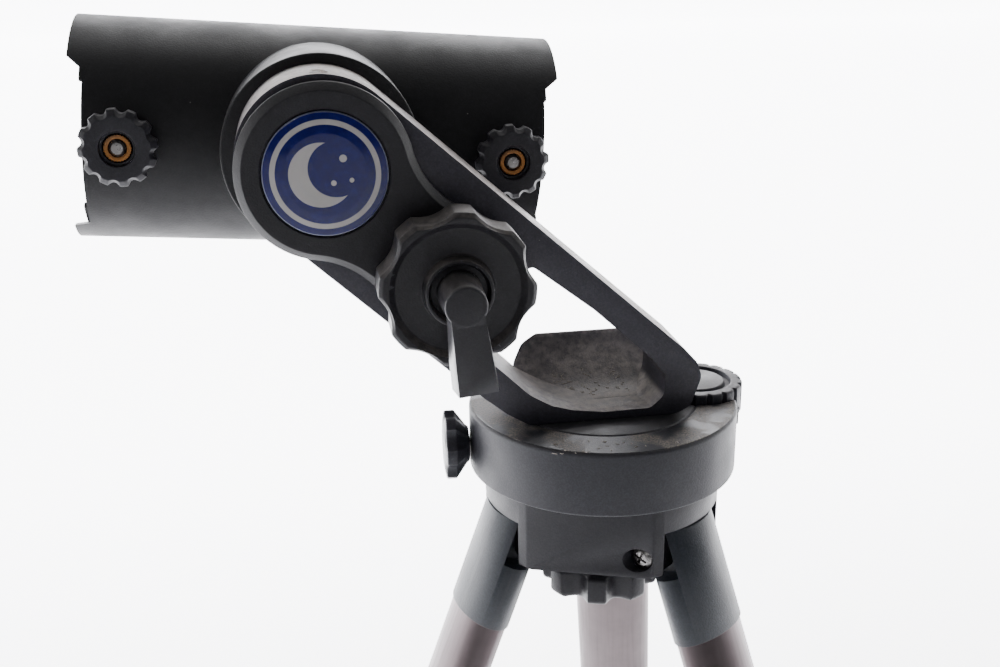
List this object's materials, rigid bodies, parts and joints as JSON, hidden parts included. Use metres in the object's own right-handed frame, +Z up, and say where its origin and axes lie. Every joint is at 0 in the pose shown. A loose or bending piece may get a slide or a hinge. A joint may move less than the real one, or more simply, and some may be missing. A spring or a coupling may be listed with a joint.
{
  "type": "alt azimuth mount",
  "caption": "Tabletop alt azimuth telescope mount: loop-shaped arm with clamp lever and slow motion knob, tube cradle, rotating azimuth base and folding tripod.",
  "frame": {"origin": "on the ground at the centre of the footprint of the three feet", "axes": "+Z up; +Y away from the viewer; the tube axis lies near X, objective end towards +X at rest, tilted 4.6 degrees down"},
  "size_m": [0.3988, 0.4166, 0.6794],
  "materials": {
    "satin_black_plastic": "satin, fine grain",
    "grey_black_plastic": "satin, fine grain",
    "blue_grey_plastic": "satin",
    "black_painted_metal": "satin powder coat, fine grain",
    "anodised_tube": "satin anodised, warm grey",
    "plated_steel": "bright plated",
    "brass": "machined, slightly tarnished",
    "badge_enamel": "glossy dome",
    "white_nylon": "semi-matte",
    "black_rubber": "matte"
  },
  "bodies": {
    "tripod": {"tripod_head": "satin_black_plastic", "azimuth_base_plate": "white_nylon", "azimuth_ring_gear": "white_nylon", "azimuth_pivot_bolt": "plated_steel", "hinge_screw_right": "plated_steel", "hinge_screw_back": "plated_steel", "hinge_screw_left": "plated_steel"},
    "azimuth_head": {"azimuth_housing": "satin_black_plastic", "altitude_arm": "black_painted_metal", "arm_screw_1": "plated_steel", "arm_screw_2": "plated_steel", "arm_screw_3": "plated_steel", "hub_bushing": "brass", "friction_washer": "white_nylon", "gear_cover": "satin_black_plastic", "badge": "badge_enamel", "idler_pin": "plated_steel"},
    "thumbwheel": {"azimuth_thumbwheel": "grey_black_plastic", "thumbwheel_pinion": "white_nylon"},
    "azimuth_lock": {"azimuth_lock_knob": "satin_black_plastic", "azimuth_lock_screw": "plated_steel", "brake_pad": "black_rubber"},
    "altitude_cradle": {"cradle": "black_painted_metal", "cradle_pad_lower": "black_rubber", "cradle_pad_upper": "black_rubber", "cradle_stud_left": "plated_steel", "cradle_stud_right": "plated_steel", "altitude_shaft": "plated_steel", "hub_gear": "white_nylon", "hub_nut": "plated_steel"},
    "idler": {"idler_gear": "white_nylon"},
    "slow_motion": {"slow_motion_knob": "satin_black_plastic", "slow_motion_pinion": "brass"},
    "clamp": {"clamp_lever": "satin_black_plastic", "clamp_screw": "plated_steel"},
    "nut_left": {"thumb_nut_left": "satin_black_plastic", "nut_insert_left": "brass"},
    "nut_right": {"thumb_nut_right": "satin_black_plastic", "nut_insert_right": "brass"},
    "mounting_screw": {"mounting_knob": "satin_black_plastic", "mounting_stud": "plated_steel"},
    "upper_leg_right": {"leg_cap_right": "blue_grey_plastic", "upper_tube_right": "anodised_tube", "leg_collar_right": "blue_grey_plastic"},
    "lower_leg_right": {"lower_tube_right": "anodised_tube", "leg_foot_right": "black_rubber"},
    "leg_lock_right": {"leg_lock_knob_right": "blue_grey_plastic"},
    "upper_leg_back": {"leg_cap_back": "blue_grey_plastic", "upper_tube_back": "anodised_tube", "leg_collar_back": "blue_grey_plastic"},
    "lower_leg_back": {"lower_tube_back": "anodised_tube", "leg_foot_back": "black_rubber"},
    "leg_lock_back": {"leg_lock_knob_back": "blue_grey_plastic"},
    "upper_leg_left": {"leg_cap_left": "blue_grey_plastic", "upper_tube_left": "anodised_tube", "leg_collar_left": "blue_grey_plastic"},
    "lower_leg_left": {"lower_tube_left": "anodised_tube", "leg_foot_left": "black_rubber"},
    "leg_lock_left": {"leg_lock_knob_left": "blue_grey_plastic"}
  },
  "joints": [
    {"name": "azimuth_turn", "type": "hinge", "parent": "tripod", "child": "azimuth_head", "pos_m": [0.03896, -0.01978, 0.55299], "axis": [0, 0, 1], "continuous": true},
    {"name": "thumbwheel_turn", "type": "hinge", "parent": "azimuth_head", "child": "thumbwheel", "pos_m": [0.07275, -0.01599, 0.55299], "axis": [0, 0, 1], "continuous": true},
    {"name": "azimuth_lock_turn", "type": "hinge", "parent": "azimuth_head", "child": "azimuth_lock", "pos_m": [-0.01096, -0.0169, 0.53919], "axis": [-0.9983, 0.0576, 0], "range_deg": [-180, 180]},
    {"name": "altitude_tilt", "type": "hinge", "parent": "azimuth_head", "child": "altitude_cradle", "pos_m": [-0.04994, -0.01978, 0.63869], "axis": [0, -1, 0], "range_deg": [-15, 94.8]},
    {"name": "idler_turn", "type": "hinge", "parent": "azimuth_head", "child": "idler", "pos_m": [-0.02756, -0.01978, 0.61797], "axis": [0, -1, 0], "range_deg": [-158, 26]},
    {"name": "slow_motion_turn", "type": "hinge", "parent": "azimuth_head", "child": "slow_motion", "pos_m": [-0.01399, -0.01978, 0.6054], "axis": [0, -1, 0], "range_deg": [-42, 259]},
    {"name": "clamp_turn", "type": "hinge", "parent": "azimuth_head", "child": "clamp", "pos_m": [-0.01399, -0.01978, 0.6054], "axis": [0, -1, 0], "range_deg": [0, 90]},
    {"name": "thumb_nut_turn_left", "type": "hinge", "parent": "altitude_cradle", "child": "nut_left", "pos_m": [-0.11188, -0.01978, 0.64197], "axis": [0, -1, 0], "range_deg": [-180, 180]},
    {"name": "thumb_nut_turn_right", "type": "hinge", "parent": "altitude_cradle", "child": "nut_right", "pos_m": [0.01172, -0.01978, 0.63202], "axis": [0, -1, 0], "range_deg": [-180, 180]},
    {"name": "mounting_screw_turn", "type": "hinge", "parent": "tripod", "child": "mounting_screw", "pos_m": [0.03896, -0.01978, 0.49299], "axis": [0, 0, 1], "range_deg": [-180, 180]},
    {"name": "leg_fold_right", "type": "hinge", "parent": "tripod", "child": "upper_leg_right", "pos_m": [0.05863, -0.04322, 0.51129], "axis": [-0.766, -0.6428, 0], "range_deg": [-20.8, 0]},
    {"name": "leg_slide_right", "type": "slide", "parent": "upper_leg_right", "child": "lower_leg_right", "axis": [0.2283, -0.272, -0.9348], "range_m": [0, 0.3]},
    {"name": "leg_lock_turn_right", "type": "hinge", "parent": "upper_leg_right", "child": "leg_lock_right", "pos_m": [0.16462, -0.16954, 0.08507], "axis": [0.6009, -0.7161, 0.3551], "range_deg": [-180, 180]},
    {"name": "leg_fold_back", "type": "hinge", "parent": "tripod", "child": "upper_leg_back", "pos_m": [0.04942, 0.00898, 0.51129], "axis": [0.9397, -0.342, 0], "range_deg": [-20.8, 0]},
    {"name": "leg_slide_back", "type": "slide", "parent": "upper_leg_back", "child": "lower_leg_back", "axis": [0.1215, 0.3337, -0.9348], "range_m": [0, 0.3]},
    {"name": "leg_lock_turn_back", "type": "hinge", "parent": "upper_leg_back", "child": "leg_lock_back", "pos_m": [0.10582, 0.16393, 0.08507], "axis": [0.3197, 0.8784, 0.3551], "range_deg": [-180, 180]},
    {"name": "leg_fold_left", "type": "hinge", "parent": "tripod", "child": "upper_leg_left", "pos_m": [0.00882, -0.02509, 0.51129], "axis": [-0.1736, 0.9848, 0], "range_deg": [-20.8, 0]},
    {"name": "leg_slide_left", "type": "slide", "parent": "upper_leg_left", "child": "lower_leg_left", "axis": [-0.3497, -0.0617, -0.9348], "range_m": [0, 0.3]},
    {"name": "leg_lock_turn_left", "type": "hinge", "parent": "upper_leg_left", "child": "leg_lock_left", "pos_m": [-0.15357, -0.05373, 0.08507], "axis": [-0.9206, -0.1623, 0.3551], "range_deg": [-180, 180]}
  ],
  "couplings": [
    {"joint": "thumbwheel_turn", "follows": "azimuth_turn", "ratio": 4.6667},
    {"joint": "idler_turn", "follows": "altitude_tilt", "ratio": -1.6522},
    {"joint": "slow_motion_turn", "follows": "altitude_tilt", "ratio": 2.7143}
  ]
}
